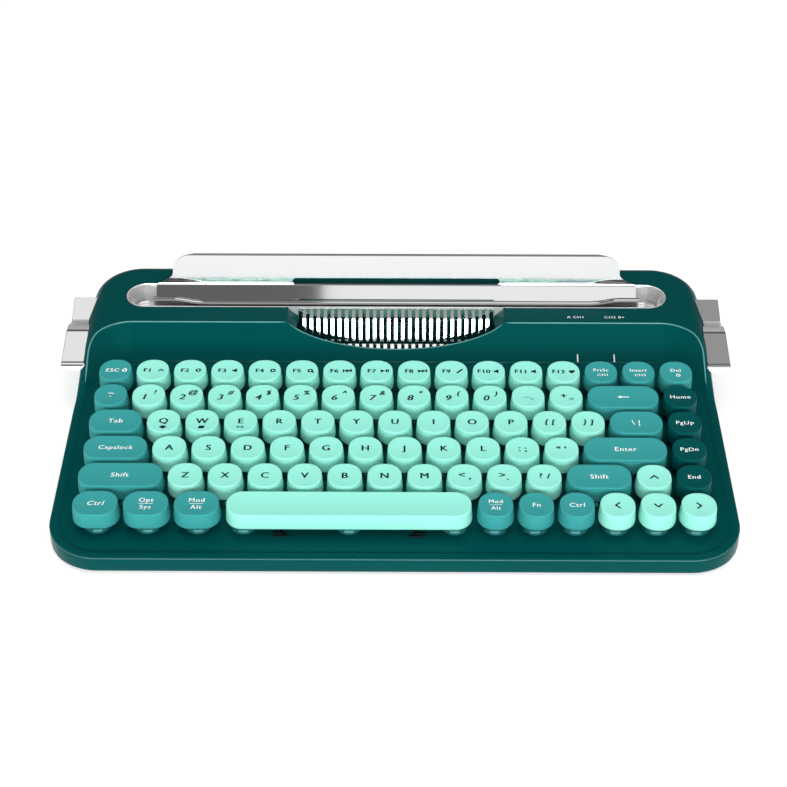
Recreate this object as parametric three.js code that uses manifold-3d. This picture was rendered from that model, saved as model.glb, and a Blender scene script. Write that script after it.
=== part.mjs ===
// Typewriter-style keyboard: teal case with a raised rear hump, chrome tablet tray,
// type-bar comb, carriage ends and 84 spring-loaded keys in six rows.
// Millimetres, X to the right, Y to the back, Z up, feet on z = 0.
import * as THREE from 'three';
import { mergeVertices } from 'three/addons/utils/BufferGeometryUtils.js';
import Module from 'manifold-3d';

const wasm = await Module();
wasm.setup();

// ---- driving dimensions ----
const PITCH = 19.05;            // one key unit
const UNITS = 16;               // key block width in units
const SLOPE = THREE.MathUtils.degToRad(5.5);
const BODY_HALF = 163.7;        // half width of the case
const CARRIAGE_HALF = 173.5;    // half width over the carriage ends
const FRONT = -106;
const REAR = 106;
const CORNER = 25;              // plan radius of the case corners
const SHOULDER = 8;             // rounding of the hump's top edge
const CASE_BOTTOM = 1.5;
const HUMP_TOP = 38.6;
const RIM = 4;                  // width of the raised border round the deck
const RIM_HEIGHT = 0.9;
const DECK_FRONT = [-102, 9.1];
const SLOPE_FOOT = [34.9, 22.2];
const CREST = [51, 36.4];
const WALL = 2.2;
const ROW0_Y = 10.8;            // centre of the rear key row
const ROW0_TOP = 34.05;         // height of its key tops
const CAP_HEIGHT = 8.6;
const CAP_CLEARANCE = 5.55;     // cap underside above the deck
const CAP_GAP = 1.55;
const CAP_TAPER = 0.55;
const COLLAR_R = 6.7;
const COLLAR_HEIGHT = 0.8;
const STEM = 4;
const STEM_HOLE = 5;
const PILL_HALF = 145.5;
const PILL_FRONT = 64.1;
const PILL_REAR = 86.4;
const TRAY_FLOOR = 27;
const SHEET = 1.2;
const REST_HALF = 130;
const WINDOW_HALF = 57.5;
const WINDOW_DIP = 9.6;         // how far the window's arc comes down the slope
const TYPE_BARS = 27;
const BAR_PITCH = 3.75;
const BAR_HALF = 0.9;

const COLOURS = {
  case: [0x004b4a, 0.32, 0.0],
  teal: [0x3d9d9c, 0.42, 0.0],
  mint: [0x90edd8, 0.42, 0.0],
  dark: [0x004948, 0.38, 0.0],
  chrome: [0xd8dadb, 0.07, 1.0],
  black: [0x141515, 0.55, 0.0],
  board: [0x12452c, 0.5, 0.0],
  steel: [0x9aa0a2, 0.4, 1.0],
  rubber: [0x161616, 0.9, 0.0],
  battery: [0x5d6468, 0.5, 0.0],
};

const group = new THREE.Group();
group.name = 'typewriter_keyboard';

function material(look) {
  const [color, roughness, metalness] = COLOURS[look];
  return new THREE.MeshStandardMaterial({ color, roughness, metalness });
}

function add(name, geometry, look) {
  const mesh = new THREE.Mesh(geometry, material(look));
  mesh.name = name;
  group.add(mesh);
  return mesh;
}

// ---- solids and booleans ----
function solid(geometry) {
  const bare = geometry.clone();
  bare.deleteAttribute('normal');
  bare.deleteAttribute('uv');
  const merged = mergeVertices(bare, 1e-4);
  return new wasm.Manifold(new wasm.Mesh({
    numProp: 3,
    vertProperties: new Float32Array(merged.attributes.position.array),
    triVerts: new Uint32Array(merged.index.array),
  }));
}

function geometryOf(body) {
  const mesh = body.getMesh();
  const geometry = new THREE.BufferGeometry();
  geometry.setAttribute('position', new THREE.BufferAttribute(new Float32Array(mesh.vertProperties), 3));
  geometry.setIndex(new THREE.BufferAttribute(new Uint32Array(mesh.triVerts), 1));
  geometry.computeVertexNormals();
  return geometry;
}

function union(bodies) {
  let level = bodies;
  while (level.length > 1) {
    const next = [];
    for (let i = 0; i < level.length; i += 2) {
      next.push(i + 1 < level.length ? level[i].add(level[i + 1]) : level[i]);
    }
    level = next;
  }
  return level[0];
}

function box(x0, x1, y0, y1, z0, z1) {
  const geometry = new THREE.BoxGeometry(x1 - x0, y1 - y0, z1 - z0);
  geometry.translate((x0 + x1) / 2, (y0 + y1) / 2, (z0 + z1) / 2);
  return geometry;
}

// A side profile [[y, z], ...] drawn out along X.
function alongX(points, x0, x1) {
  const shape = new THREE.Shape(points.map(([y, z]) => new THREE.Vector2(y, z)));
  const geometry = new THREE.ExtrudeGeometry(shape, { depth: x1 - x0, bevelEnabled: false });
  geometry.applyMatrix4(new THREE.Matrix4().makeBasis(
    new THREE.Vector3(0, 1, 0), new THREE.Vector3(0, 0, 1), new THREE.Vector3(1, 0, 0)));
  geometry.translate(x0, 0, 0);
  return geometry;
}

function roundedRect(x0, x1, y0, y1, r) {
  const shape = new THREE.Shape();
  shape.moveTo(x0 + r, y0);
  shape.lineTo(x1 - r, y0);
  shape.absarc(x1 - r, y0 + r, r, -Math.PI / 2, 0);
  shape.lineTo(x1, y1 - r);
  shape.absarc(x1 - r, y1 - r, r, 0, Math.PI / 2);
  shape.lineTo(x0 + r, y1);
  shape.absarc(x0 + r, y1 - r, r, Math.PI / 2, Math.PI);
  shape.lineTo(x0, y0 + r);
  shape.absarc(x0 + r, y0 + r, r, Math.PI, Math.PI * 1.5);
  return shape;
}

function prism(shape, z0, z1, curveSegments) {
  const geometry = new THREE.ExtrudeGeometry(shape, { depth: z1 - z0, bevelEnabled: false, curveSegments });
  geometry.translate(0, 0, z0);
  return geometry;
}

// ---- the key plane ----
function deckZ(y) {
  return DECK_FRONT[1] + (y - DECK_FRONT[0]) * Math.tan(SLOPE);
}

// Places a geometry drawn flat (z = 0 on the deck) at a key position.
function onDeck(geometry, unit, row) {
  const placed = geometry.clone();
  placed.rotateX(SLOPE);
  const y = ROW0_Y - row * PITCH * Math.cos(SLOPE);
  const z = ROW0_TOP - row * PITCH * Math.sin(SLOPE);
  const drop = CAP_HEIGHT + CAP_CLEARANCE;
  placed.translate((unit - UNITS / 2) * PITCH, y + drop * Math.sin(SLOPE), z - drop * Math.cos(SLOPE));
  return placed;
}

// ---- keys ----
const SINGLE_KEYS = [
  ['key_esc', 0, 0, 1, 'teal'],
  ['key_backspace', 1, 13, 2, 'teal'],
  ['key_tab', 2, 0, 1.5, 'teal'],
  ['key_caps', 3, 0, 1.75, 'teal'],
  ['key_enter', 3, 12.75, 2.25, 'teal'],
  ['key_shift_left', 4, 0, 2.25, 'teal'],
  ['key_shift_right', 4, 12.25, 1.75, 'teal'],
  ['key_space', 5, 3.79, 6.18, 'mint'],
];
const LETTER_ROWS = [
  ['qwertyuiop', 2, 1.5],
  ['asdfghjkl', 3, 1.75],
  ['zxcvbnm', 4, 2.25],
];
// Banks: keys that share one body, each key as [row, first unit, width].
const KEY_BANKS = [
  ['keys_f1_f6', 'mint', run(0, 1, 6)],
  ['keys_f7_f12', 'mint', run(0, 7, 6)],
  ['keys_print_insert_delete', 'teal', run(0, 13, 3)],
  ['keys_tilde_to_5', 'mint', run(1, 0, 6)],
  ['keys_6_to_equals', 'mint', run(1, 6, 7)],
  ['keys_brackets', 'mint', [...run(2, 11.5, 2), [2, 13.5, 1.5]]],
  ['keys_semicolon_quote', 'mint', run(3, 10.75, 2)],
  ['keys_comma_period_slash', 'mint', run(4, 9.25, 3)],
  ['keys_home_end_column', 'dark', [[1, 15, 1], [2, 15, 1], [3, 15, 1], [4, 15, 1]]],
  ['keys_modifiers_left', 'teal', [[5, 0, 1.25], [5, 1.25, 1.25], [5, 2.5, 1.25]]],
  ['keys_modifiers_right', 'teal', run(5, 10, 3)],
  ['keys_arrows', 'mint', [[5, 13, 1], [5, 14, 1], [5, 15, 1], [4, 14, 1]]],
];

function run(row, first, count) {
  return Array.from({ length: count }, (unused, i) => [row, first + i, 1]);
}

function middle([, unit, width]) {
  return unit + width / 2;
}

function isSpace(width) {
  return width > 6;
}

// Stem positions of a key, as offsets in units from its middle.
function stemOffsets(width) {
  return isSpace(width) ? [-50 / PITCH, 0, 50 / PITCH] : [0];
}

function capGeometry(width) {
  const half = (width * PITCH - CAP_GAP) / 2;
  const depth = (PITCH - CAP_GAP) / 2;
  const cap = prism(roundedRect(-half, half, -depth, depth, 7.4), 0, CAP_HEIGHT, 1);
  const position = cap.attributes.position;
  for (let i = 0; i < position.count; i += 1) {
    if (position.getZ(i) > CAP_HEIGHT / 2) {
      position.setX(i, position.getX(i) * (1 - CAP_TAPER / half));
      position.setY(i, position.getY(i) * (1 - CAP_TAPER / depth));
    }
  }
  cap.translate(0, 0, CAP_CLEARANCE);
  return cap;
}

function keySolid([row, unit, width]) {
  const bodies = [solid(onDeck(capGeometry(width), unit + width / 2, row))];
  const half = STEM / 2;
  for (const offset of stemOffsets(width)) {
    const stem = box(-half, half, -half, half, -0.5, CAP_CLEARANCE + 1);
    bodies.push(solid(onDeck(stem, unit + width / 2 + offset, row)));
  }
  return union(bodies);
}

// A low bar between the undersides of two neighbouring caps.
function bridge(a, b) {
  const reach = 1.5;
  if (a[0] === b[0]) {
    const gap = (b[1] - a[1] - a[2]) * PITCH + CAP_GAP + 2 * reach;
    const bar = box(-gap / 2, gap / 2, -2, 2, CAP_CLEARANCE + 0.4, CAP_CLEARANCE + 2);
    return solid(onDeck(bar, (a[1] + a[2] + b[1]) / 2, a[0]));
  }
  const length = CAP_GAP / 2 + reach;
  const bar = box(-2, 2, -length, length, CAP_CLEARANCE + 0.4, CAP_CLEARANCE + 2);
  return solid(onDeck(bar, middle(a), (a[0] + b[0]) / 2));
}

function bankSolid(keys) {
  const bodies = keys.map(keySolid);
  for (let i = 0; i < keys.length; i += 1) {
    for (let j = i + 1; j < keys.length; j += 1) {
      const [a, b] = [keys[i], keys[j]];
      const sideBySide = a[0] === b[0] && Math.abs(a[1] + a[2] - b[1]) < 0.01;
      const stacked = Math.abs(a[0] - b[0]) === 1 && Math.abs(middle(a) - middle(b)) < 0.01;
      if (sideBySide || stacked) bodies.push(bridge(a, b));
    }
  }
  return union(bodies);
}

const LETTER_KEYS = LETTER_ROWS.flatMap(([letters, row, first]) =>
  [...letters].map((letter, i) => [`key_${letter}`, row, first + i, 1, 'mint']));
const ALL_KEYS = [...SINGLE_KEYS, ...LETTER_KEYS];

for (const [name, row, unit, width, look] of ALL_KEYS) {
  add(name, geometryOf(keySolid([row, unit, width])), look);
}
for (const [name, look, keys] of KEY_BANKS) {
  add(name, geometryOf(bankSolid(keys)), look);
}

// ---- case ----
const PLAN = roundedRect(-BODY_HALF + SHOULDER, BODY_HALF - SHOULDER,
  FRONT + SHOULDER, REAR - SHOULDER, CORNER - SHOULDER);

function outerPlan() {
  const height = HUMP_TOP - CASE_BOTTOM;
  const geometry = new THREE.ExtrudeGeometry(PLAN, {
    depth: height,
    bevelThickness: SHOULDER,
    bevelSize: SHOULDER,
    bevelSegments: 3,
    curveSegments: 3,
  });
  geometry.translate(0, 0, CASE_BOTTOM - SHOULDER);
  return solid(geometry);
}

// Top line of the case from the front rim to the hump, before the deck is sunk into it.
function caseProfile(lift) {
  const rim = RIM_HEIGHT + lift;
  return [
    [FRONT - 5, CASE_BOTTOM],
    [FRONT - 5, deckZ(FRONT) + rim],
    [0, deckZ(0) + rim],
    [16, deckZ(16) + 2.2 + lift],
    [28, deckZ(28) + 6.6 + lift],
    [38, 34.2 + lift],
    [CREST[0], CREST[1] + 0.3 + lift],
    [60, 37.2 + lift],
    [REAR + 5, HUMP_TOP + 0.6 + lift],
    [REAR + 5, CASE_BOTTOM],
  ];
}

const outer = outerPlan().intersect(solid(alongX(caseProfile(0), -BODY_HALF - 5, BODY_HALF + 5)));

const deckCut = solid(prism(
  roundedRect(-BODY_HALF + RIM, BODY_HALF - RIM, DECK_FRONT[0], CREST[0], 21), 0, 60, 3)).intersect(
  solid(alongX([
    [DECK_FRONT[0] - 2, deckZ(DECK_FRONT[0] - 2)],
    SLOPE_FOOT,
    [SLOPE_FOOT[0] + 6, SLOPE_FOOT[1] + 3.6],
    [CREST[0] - 4, CREST[1] - 4.6],
    CREST,
    [CREST[0], 60],
    [DECK_FRONT[0] - 2, 60],
  ], -BODY_HALF, BODY_HALF)));

const cavity = solid(prism(
  roundedRect(-BODY_HALF + 3, BODY_HALF - 3, FRONT + 3, REAR - 3, CORNER - 3), -5, 60, 3)).intersect(
  solid(alongX([
    [FRONT, -5],
    [FRONT, deckZ(FRONT) - WALL],
    [SLOPE_FOOT[0] + 2, SLOPE_FOOT[1] - WALL + 0.2],
    [SLOPE_FOOT[0] + 9, SLOPE_FOOT[1] + 2],
    [CREST[0] + 3, CREST[1] - 3.6],
    [REAR - 9, HUMP_TOP - 3.8],
    [REAR, HUMP_TOP - 10],
    [REAR, -5],
  ], -BODY_HALF, BODY_HALF)));

// Plan outline of the type-bar window, grown by a margin.
function windowShape(margin, rear) {
  const half = WINDOW_HALF + margin;
  const shape = new THREE.Shape();
  shape.moveTo(half, rear);
  shape.lineTo(-half, rear);
  shape.lineTo(-half, CREST[0]);
  shape.absellipse(0, CREST[0], half, WINDOW_DIP + margin, Math.PI, Math.PI * 2, false, 0);
  shape.closePath();
  return shape;
}

const windowCut = solid(prism(windowShape(0, 70), 12, 60, 7));
const pillShape = (margin) => roundedRect(-PILL_HALF - margin, PILL_HALF + margin,
  PILL_FRONT - margin, PILL_REAR + margin, (PILL_REAR - PILL_FRONT) / 2 + margin - 0.01);
const pillCut = solid(prism(pillShape(0), 20, 60, 5));

const collars = [];
const stemHoles = [];
const collarShape = new THREE.CylinderGeometry(COLLAR_R, COLLAR_R, COLLAR_HEIGHT + 1, 8, 1);
collarShape.rotateX(Math.PI / 2);
collarShape.translate(0, 0, (COLLAR_HEIGHT - 1) / 2);
const everyKey = [...ALL_KEYS.map(([, row, unit, width]) => [row, unit, width]),
  ...KEY_BANKS.flatMap(([, , keys]) => keys)];
for (const [row, unit, width] of everyKey) {
  for (const offset of stemOffsets(width)) {
    const at = unit + width / 2 + offset;
    const half = STEM_HOLE / 2;
    collars.push(solid(onDeck(collarShape, at, row)));
    stemHoles.push(solid(onDeck(box(-half, half, -half, half, -4, 3), at, row)));
  }
}

const USB = { x: 110, z: 14.6 };
const POWER = { x: 78, z: 14.6 };
const rearCuts = [
  solid(box(USB.x - 4.8, USB.x + 4.8, REAR - 8, REAR + 2, USB.z - 1.9, USB.z + 1.9)),
  solid(box(POWER.x - 5, POWER.x + 5, REAR - 8, REAR + 2, POWER.z - 2, POWER.z + 2)),
];

const topCase = union([outer.subtract(deckCut), ...collars])
  .subtract(cavity)
  .subtract(union([windowCut, pillCut, ...stemHoles, ...rearCuts]));
add('top_case', geometryOf(topCase), 'case');

add('bottom_case', prism(
  roundedRect(-BODY_HALF + 3.4, BODY_HALF - 3.4, FRONT + 3.4, REAR - 3.4, CORNER - 3.4),
  CASE_BOTTOM, CASE_BOTTOM + 1.2, 3), 'case');

// ---- switch plate, electronics, battery ----
function deckSheet(top, thickness) {
  const sheet = box(-153, 153, -56.5, 56.5, top - thickness, top);
  return onDeck(sheet, UNITS / 2, 2.5);
}
add('switch_plate', deckSheet(-4.7, 1), 'steel');

const board = union([
  solid(deckSheet(-5.9, 0.9)),
  solid(box(USB.x - 12, USB.x + 12, 12, 97, USB.z - 1.7, USB.z - 0.5)),
  solid(box(USB.x - 4.4, USB.x + 4.4, 92, REAR - 0.8, USB.z - 1.7, USB.z + 1.5)),
]);
add('circuit_board', geometryOf(board), 'board');
add('battery_pack', box(-105, -25, 62, 98, CASE_BOTTOM + 1.6, 13.5), 'battery');

// ---- power slider in the rear wall ----
const slider = union([
  solid(box(POWER.x - 4.4, POWER.x, REAR - 1.6, REAR - 0.2, POWER.z - 1.6, POWER.z + 1.6)),
  solid(box(POWER.x - 3.2, POWER.x - 1.2, REAR - 6.4, REAR - 1, POWER.z - 1.2, POWER.z + 1.2)),
]);
add('power_switch', geometryOf(slider), 'black');

// ---- chrome tray sunk in the hump ----
function humpTopZ(y) {
  return 37.2 + (y - 60) * (HUMP_TOP + 0.6 - 37.2) / (REAR + 5 - 60);
}
const trayTop = solid(alongX([
  [PILL_FRONT - 2, 0],
  [PILL_FRONT - 2, humpTopZ(PILL_FRONT - 2) + 0.25],
  [PILL_REAR + 2, humpTopZ(PILL_REAR + 2) + 0.25],
  [PILL_REAR + 2, 0],
], -PILL_HALF - 2, PILL_HALF + 2));
const tray = solid(prism(pillShape(-0.3), TRAY_FLOOR - SHEET, 50, 5))
  .subtract(solid(prism(pillShape(-0.3 - SHEET), TRAY_FLOOR, 60, 5)))
  .intersect(trayTop);
add('tray_liner', geometryOf(tray), 'chrome');

// ---- bent chrome sheet: leaning back rest, sloping floor and front lip ----
const REST_BEND = [83.3, 39.7];
const REST_LEAN = THREE.MathUtils.degToRad(13);
const REST_TALL = 17.4;
const restLine = [
  [66.6, 39.1],
  [67.6, 38.3],
  [68.2, 30.4],
  [75.5, 31.4],
  REST_BEND,
  [REST_BEND[0] + REST_TALL * Math.sin(REST_LEAN), REST_BEND[1] + REST_TALL * Math.cos(REST_LEAN)],
];

// Turns a centre line in the YZ plane into a closed strip of even thickness.
function strip(line, thickness) {
  const points = line.map(([y, z]) => new THREE.Vector2(y, z));
  const side = (sign) => points.map((p, i) => {
    const before = points[Math.max(i - 1, 0)];
    const after = points[Math.min(i + 1, points.length - 1)];
    const a = p.clone().sub(before).normalize();
    const b = after.clone().sub(p).normalize();
    const along = i === 0 ? b : i === points.length - 1 ? a : a.clone().add(b).normalize();
    const across = new THREE.Vector2(-along.y, along.x);
    const turn = i === 0 || i === points.length - 1 ? 1 : along.dot(a);
    return p.clone().add(across.multiplyScalar(sign * thickness / 2 / turn)).toArray();
  });
  return [...side(1), ...side(-1).reverse()];
}

// Front view of the back rest: broad rounded top with flared feet.
function restOutline() {
  const shape = new THREE.Shape();
  const top = REST_BEND[1] + REST_TALL * Math.cos(REST_LEAN) + 1;
  const waist = REST_BEND[1] + 7.4;
  shape.moveTo(-REST_HALF, 20);
  shape.lineTo(REST_HALF, 20);
  shape.lineTo(REST_HALF, REST_BEND[1]);
  shape.quadraticCurveTo(REST_HALF - 6, REST_BEND[1] + 0.6, 120, waist);
  shape.quadraticCurveTo(118, top - 0.6, 107, top);
  shape.lineTo(-107, top);
  shape.quadraticCurveTo(-118, top - 0.6, -120, waist);
  shape.quadraticCurveTo(-REST_HALF + 6, REST_BEND[1] + 0.6, -REST_HALF, REST_BEND[1]);
  return new THREE.ExtrudeGeometry(shape, { depth: 60, bevelEnabled: false, curveSegments: 5 });
}
const outline = restOutline();
outline.rotateX(Math.PI / 2);
outline.translate(0, 110, 0);
const upperSlot = prism(roundedRect(-56, 56, -1.9, 1.9, 1.89), -6, 6, 3);
upperSlot.rotateX(Math.PI / 2 - REST_LEAN);
upperSlot.translate(0, REST_BEND[0] + 2.3 * Math.sin(REST_LEAN), REST_BEND[1] + 2.3);
const rest = solid(alongX(strip(restLine, SHEET), -REST_HALF, REST_HALF))
  .intersect(solid(outline))
  .subtract(solid(upperSlot))
  .subtract(solid(box(-53, 53, 76.2, 77.9, 28, 38)));
add('paper_rest', geometryOf(rest), 'chrome');

// ---- type-bar comb behind the window: a leaning back plate with a row of upright bars ----
const COMB_PLATE = [
  [63.4, 37.2],
  [58.9, 17.4],
  [41, 17.4],
  [41, 16.2],
  [59.8, 16.2],
  [64.1, 36.9],
];
const BAR_PROFILE = [
  [63.6, 36.8],
  [58.4, 34.5],
  [58, 33.9],
  [51.1, 18.6],
  [52, 17],
  [59.2, 17],
];
const comb = [solid(alongX(COMB_PLATE, -WINDOW_HALF + 1, WINDOW_HALF - 1))];
for (let i = 0; i < TYPE_BARS; i += 1) {
  const x = (i - (TYPE_BARS - 1) / 2) * BAR_PITCH;
  comb.push(solid(alongX(BAR_PROFILE, x - BAR_HALF, x + BAR_HALF)));
}
add('typebar_comb', geometryOf(union(comb)), 'chrome');

// ---- carriage ends ----
const END_PROFILE = [
  [75.2, 36.4],
  [61.3, 30.9],
  [57.5, 31],
  [52.5, 33.8],
  [44.7, 34.5],
  [22.9, 28.6],
  [22.3, 28.1],
  [21.2, 26.1],
  [21.9, 25.2],
  [73.9, 25.2],
  [75.2, 26.5],
];
add('carriage_end_left', alongX(END_PROFILE, -CARRIAGE_HALF, -BODY_HALF - 0.3), 'chrome');
add('carriage_end_right', alongX(END_PROFILE, BODY_HALF + 0.3, CARRIAGE_HALF), 'chrome');

// ---- stabiliser wire under the space bar, with its two clips ----
const spaceUnit = 3.79 + 6.18 / 2;
const stabilizerParts = [[-32.5, 32.5, 7.4, 8.3, 0.3, 0.9]];
for (const x of [-32, 32]) {
  stabilizerParts.push([x - 0.5, x + 0.5, -8, 8.3, 0.3, 0.9], [x - 4, x + 4, -8.4, -7, 0.3, 0.9]);
}
const stabilizer = union(stabilizerParts.map((part) => solid(onDeck(box(...part), spaceUnit, 5))));
add('space_stabilizer', geometryOf(stabilizer), 'black');

// ---- rubber feet ----
for (const [name, y] of [['foot_front', -90], ['foot_rear', 90]]) {
  add(name, prism(roundedRect(-125, 125, y - 4, y + 4, 3.9), 0, 1.2, 3), 'rubber');
}

export default group;
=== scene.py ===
import math

import bmesh
import bpy
import numpy as np
from mathutils import Matrix, Vector


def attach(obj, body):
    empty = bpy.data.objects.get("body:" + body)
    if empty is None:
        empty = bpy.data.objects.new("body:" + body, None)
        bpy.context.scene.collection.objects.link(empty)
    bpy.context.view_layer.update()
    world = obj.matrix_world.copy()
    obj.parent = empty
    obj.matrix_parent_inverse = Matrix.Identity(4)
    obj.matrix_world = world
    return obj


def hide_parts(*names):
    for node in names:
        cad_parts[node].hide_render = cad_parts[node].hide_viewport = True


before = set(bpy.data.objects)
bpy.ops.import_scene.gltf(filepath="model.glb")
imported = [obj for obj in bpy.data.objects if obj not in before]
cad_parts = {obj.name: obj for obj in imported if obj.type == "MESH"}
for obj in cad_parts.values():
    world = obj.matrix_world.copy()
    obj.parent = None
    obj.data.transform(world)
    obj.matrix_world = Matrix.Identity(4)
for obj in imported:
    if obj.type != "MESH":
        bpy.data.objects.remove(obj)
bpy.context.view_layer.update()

MM = 0.001
PITCH = 19.05
SLOPE = math.radians(5.5)
BODY_HALF, FRONT, REAR, CORNER = 163.7, -106.0, 106.0, 25.0
ROW0_Y, ROW0_TOP = 10.8, 34.05
CAP_TOP = 14.15         # key top above the deck
CAP_LOW = 5.55          # cap rim above the deck
KEY_GAP = 1.55          # between neighbouring caps
CAP_RADIUS = 8.0
STEM_HOLE = 3.4
PILL_HALF, PILL_Y0, PILL_Y1 = 145.5, 64.1, 86.4
WINDOW_HALF, WINDOW_DIP, CREST_Y = 57.5, 9.6, 51.0
CASE_LOW = 1.5


# ---- helpers
def smooth(t):
    t = np.clip(t, 0, 1)
    return t * t * (3 - 2 * t)


def new_object(name, data):
    obj = bpy.data.objects.new(name, data)
    bpy.context.scene.collection.objects.link(obj)
    return obj


def make_object(name, verts, faces, materials, smooth_shading=True, face_materials=None):
    """A mesh object from millimetre points."""
    mesh = bpy.data.meshes.new(name)
    mesh.from_pydata([tuple(float(c) * MM for c in v) for v in verts], [], faces)
    for m in materials:
        mesh.materials.append(m)
    if face_materials is not None:
        mesh.polygons.foreach_set("material_index", face_materials)
    mesh.polygons.foreach_set("use_smooth", [smooth_shading] * len(mesh.polygons))
    mesh.validate()
    return new_object(name, mesh)


def add_part(verts, faces, more_verts, more_faces):
    """Appends one closed piece to the growing lists of a mesh."""
    base = len(verts)
    verts.extend(more_verts)
    faces.extend(tuple(base + i for i in face) for face in more_faces)


def baked_mesh(obj):
    bpy.context.view_layer.update()
    graph = bpy.context.evaluated_depsgraph_get()
    return bpy.data.meshes.new_from_object(obj.evaluated_get(graph), depsgraph=graph)


def apply_modifiers(obj):
    """Bakes the object's modifiers into its mesh."""
    mesh = baked_mesh(obj)
    old = obj.data
    obj.modifiers.clear()
    obj.data = mesh
    bpy.data.meshes.remove(old)
    return obj


def cut(obj, cutters):
    """Takes each cutter out of the object, then drops the cutter."""
    for cutter in cutters:
        m = obj.modifiers.new("cut", "BOOLEAN")
        m.operation = "DIFFERENCE"
        m.solver = "MANIFOLD"
        m.object = cutter
    apply_modifiers(obj)
    for cutter in cutters:
        bpy.data.objects.remove(cutter)
    return obj


def sharpen(obj, degrees=35):
    """Smooth shading that keeps edges steeper than the angle crisp."""
    mesh = obj.data
    bm = bmesh.new()
    bm.from_mesh(mesh)
    limit = math.radians(degrees)
    for e in bm.edges:
        e.smooth = len(e.link_faces) != 2 or e.calc_face_angle(0) < limit
    for f in bm.faces:
        f.smooth = True
    bm.to_mesh(mesh)
    bm.free()
    return obj


def face_outwards(obj):
    bm = bmesh.new()
    bm.from_mesh(obj.data)
    bmesh.ops.recalc_face_normals(bm, faces=bm.faces)
    bm.to_mesh(obj.data)
    bm.free()
    return obj


def join(name, objects):
    """Joins objects into one, keeping each one's materials."""
    base = objects[0]
    bpy.ops.object.select_all(action="DESELECT")
    for o in objects:
        o.select_set(True)
    bpy.context.view_layer.objects.active = base
    bpy.ops.object.join()
    base.name = name
    base.data.name = name
    return base


def bevel(obj, width, segments, degrees, slot=-1):
    """Rounds the edges steeper than the angle; slot is the material of the rounding, -1 for the faces' own."""
    m = obj.modifiers.new("bevel", "BEVEL")
    m.width = width * MM
    m.material = slot
    m.segments = segments
    m.limit_method = "ANGLE"
    m.angle_limit = math.radians(degrees)
    obj.modifiers.new("normals", "WEIGHTED_NORMAL").weight = 100
    sharpen(obj, 50)
    return apply_modifiers(obj)


def loft(loops, close_start=True, close_end=True):
    """Quads between equal-length closed loops, with fan caps at the ends."""
    verts = [p for loop in loops for p in loop]
    n = len(loops[0])
    faces = []
    for k in range(len(loops) - 1):
        a, b = k * n, (k + 1) * n
        for i in range(n):
            j = (i + 1) % n
            faces.append((a + i, a + j, b + j, b + i))
    if close_start:
        verts.append(np.mean(np.array(loops[0], float), axis=0))
        c = len(verts) - 1
        faces += [(c, (i + 1) % n, i) for i in range(n)]
    if close_end:
        verts.append(np.mean(np.array(loops[-1], float), axis=0))
        c = len(verts) - 1
        base = (len(loops) - 1) * n
        faces += [(c, base + i, base + (i + 1) % n) for i in range(n)]
    return verts, faces


def rounded_loop(hx, hy, r, arc=8, straight=1):
    """Counter-clockwise rounded rectangle, with extra points along its long sides."""
    r = min(r, hx, hy)
    points = []
    corners = [(hx - r, -hy + r, -90), (hx - r, hy - r, 0),
               (-hx + r, hy - r, 90), (-hx + r, -hy + r, 180)]
    for k, (cx, cy, start) in enumerate(corners):
        for i in range(arc + 1):
            a = math.radians(start + 90 * i / arc)
            points.append((cx + r * math.cos(a), cy + r * math.sin(a)))
        if straight > 1:
            nx, ny, s = corners[(k + 1) % 4]
            a1 = math.radians(s)
            x1, y1 = nx + r * math.cos(a1), ny + r * math.sin(a1)
            x0, y0 = points[-1]
            for i in range(1, straight):
                t = i / straight
                points.append((x0 + (x1 - x0) * t, y0 + (y1 - y0) * t))
    return points


def circle(r, count=16):
    return [(r * math.cos(a), r * math.sin(a)) for a in np.linspace(0, 2 * math.pi, count, endpoint=False)]


def prism(name, loop, z0, z1):
    """Upright solid over a plan outline, used as a cutter."""
    verts, faces = loft([[(x, y, z0) for x, y in loop], [(x, y, z1) for x, y in loop]])
    return make_object(name, verts, faces, [])


# ---- materials
def node_tree(name):
    material = bpy.data.materials.new(name)
    material.use_nodes = True
    tree = material.node_tree
    return material, tree, tree.nodes["Principled BSDF"]


def add_node(tree, kind, **values):
    """A shader node with its constant sockets set; From_Min stands for the socket From Min."""
    node = tree.nodes.new(kind)
    for key, value in values.items():
        node.inputs[key.replace("_", " ")].default_value = value
    return node


def map_range(tree, source, **values):
    node = add_node(tree, "ShaderNodeMapRange", **values)
    tree.links.new(source, node.inputs["Value"])
    return node


def math_node(tree, operation, *sources):
    node = tree.nodes.new("ShaderNodeMath")
    node.operation = operation
    for i, source in enumerate(sources):
        tree.links.new(source, node.inputs[i])
    return node.outputs["Value"]


def colour_mix(tree):
    node = tree.nodes.new("ShaderNodeMix")
    node.data_type = "RGBA"
    return node


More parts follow.
